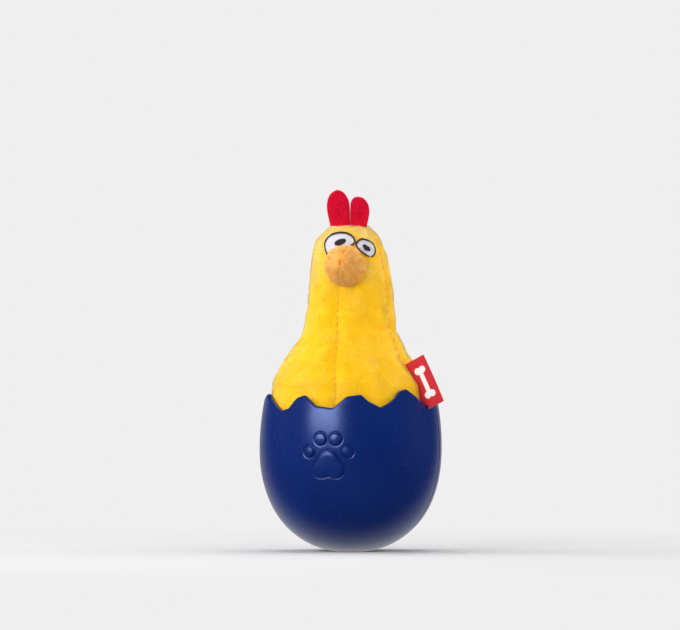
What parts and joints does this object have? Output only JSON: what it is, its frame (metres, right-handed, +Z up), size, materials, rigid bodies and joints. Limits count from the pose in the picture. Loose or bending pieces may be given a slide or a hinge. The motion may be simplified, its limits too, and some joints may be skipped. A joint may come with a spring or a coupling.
{
  "type": "squeaky tumbler dog toy",
  "caption": "Self-righting dog toy: a plush chicken with a squeaker inside, standing in a weighted rubber egg cup with a jagged cracked rim.",
  "frame": {"origin": "centre of the flat spot under the egg cup, on the surface that the toy rests on", "axes": "+Z up along the cup's axis, -Y towards the toy's front, +X to the toy's own left, on the side with the ribbon label"},
  "size_m": [0.0743, 0.0708, 0.1386],
  "materials": {
    "cup_rubber": "satin",
    "weight_iron": "rough",
    "cap_plastic": "matte",
    "yellow_plush": "short pile",
    "orange_plush": "pile",
    "red_felt": "felt",
    "red_ribbon": "woven",
    "fibre_fill": "loose fibre",
    "squeaker_plastic": "matte",
    "reed_plastic": "matte",
    "white_thread": "satin stitch",
    "black_thread": "satin stitch",
    "seam_thread": "thread"
  },
  "bodies": {
    "toy": {"egg_cup": "cup_rubber", "counterweight": "weight_iron", "weight_cap": "cap_plastic", "plush_base_disc": "yellow_plush", "plush_front_left": "yellow_plush", "plush_front_right": "yellow_plush", "plush_back_left": "yellow_plush", "plush_back_right": "yellow_plush", "fibre_filling": "fibre_fill", "squeaker_bulb": "squeaker_plastic", "comb_large_lobe": "red_felt", "comb_small_lobe": "red_felt", "beak_left_panel": "orange_plush", "beak_right_panel": "orange_plush", "beak_filling": "fibre_fill", "big_eye_white": "white_thread", "big_eye_outline": "black_thread", "big_eye_pupil": "black_thread", "small_eye_white": "white_thread", "small_eye_outline": "black_thread", "small_eye_pupil": "black_thread", "side_label": "red_ribbon", "seam_thread_front": "seam_thread", "seam_thread_back": "seam_thread", "seam_thread_left": "seam_thread", "seam_thread_right": "seam_thread"},
    "whistle": {"squeaker_whistle": "squeaker_plastic", "squeaker_reed": "reed_plastic"}
  },
  "joints": [
    {"name": "squeaker_squeeze", "type": "slide", "parent": "toy", "child": "whistle", "axis": [0, 0, -1], "range_m": [0, 0.007], "stiffness_N_per_m": 250, "deforming": ["squeaker_bulb"]}
  ]
}
